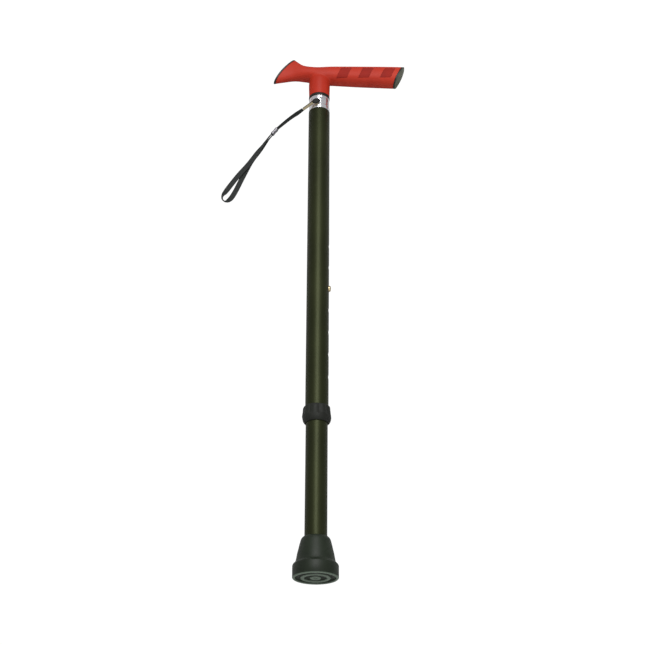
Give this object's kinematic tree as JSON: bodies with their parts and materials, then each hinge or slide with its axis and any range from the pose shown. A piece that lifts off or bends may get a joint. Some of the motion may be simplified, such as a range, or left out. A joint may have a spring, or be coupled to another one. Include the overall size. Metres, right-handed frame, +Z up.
{
  "type": "walking cane",
  "caption": "Height-adjustable walking cane with a soft red T-handle, dark telescoping tubes, snap button, lock ring, wrist strap and ribbed rubber ferrule, lying on its side",
  "frame": {"origin": "centre of the rubber ferrule's tread face", "axes": "+Y runs up the shaft from the foot to the handle, +X is the side of the handle's long arm, +Z points up from the surface that the cane lies on"},
  "size_m": [0.2001, 0.5947, 0.044],
  "materials": {
    "soft_red": "soft matte red",
    "dark_red": "grained darker red",
    "olive_plastic": "satin olive black",
    "black_plastic": "satin black",
    "lacquer": "glossy olive-black lacquer on aluminium",
    "chrome": "polished chrome plate",
    "steel": "plain steel",
    "brass": "pale brass",
    "rubber": "matte moulded rubber",
    "nylon": "natural nylon",
    "webbing": "woven nylon tape"
  },
  "bodies": {
    "upper": {"grip": "soft_red", "horn_end_plate": "olive_plastic", "long_arm_end_plate": "olive_plastic", "handle_core": "nylon", "collar": "chrome", "neck_ring": "black_plastic", "collar_rivet": "chrome", "strap_stud": "black_plastic", "upper_tube": "lacquer", "split_collet": "nylon", "grip_pad_1": "dark_red", "grip_pad_2": "dark_red", "grip_pad_3": "dark_red", "grip_pad_4": "dark_red", "grip_pad_5": "dark_red", "grip_pad_6": "dark_red"},
    "lower": {"lower_tube": "lacquer", "lower_tube_plug": "black_plastic", "spring_bow": "steel", "ferrule": "rubber", "ferrule_washer": "steel"},
    "button": {"snap_button": "brass", "spring_leaf": "steel"},
    "washer": {"clamp_washer": "brass"},
    "ring": {"lock_ring": "black_plastic"},
    "strap": {"strap_clip": "brass", "strap_tail": "webbing", "strap_crimp": "steel", "strap_loop": "webbing"}
  },
  "joints": [
    {"name": "height_slide", "type": "slide", "parent": "upper", "child": "lower", "axis": [0, -1, 0], "range_m": [-0.05, 0.1]},
    {"name": "button_press", "type": "slide", "parent": "lower", "child": "button", "axis": [-1, 0, 0], "range_m": [0, 0.0028], "stiffness_N_per_m": 600},
    {"name": "ring_turn", "type": "hinge", "parent": "washer", "child": "ring", "pos_m": [0, 0.166, 0], "axis": [0, 1, 0], "range_deg": [0, 270]},
    {"name": "washer_travel", "type": "slide", "parent": "upper", "child": "washer", "axis": [0, -1, 0], "range_m": [0, 0.00112]},
    {"name": "strap_swing", "type": "hinge", "parent": "upper", "child": "strap", "pos_m": [-0.0033, 0.5326, 0.0122], "axis": [0, 0, 1], "range_deg": [-30, 8]}
  ],
  "couplings": [
    {"joint": "ring_turn", "follows": "washer_travel", "rad_per_m": 4188.8}
  ]
}
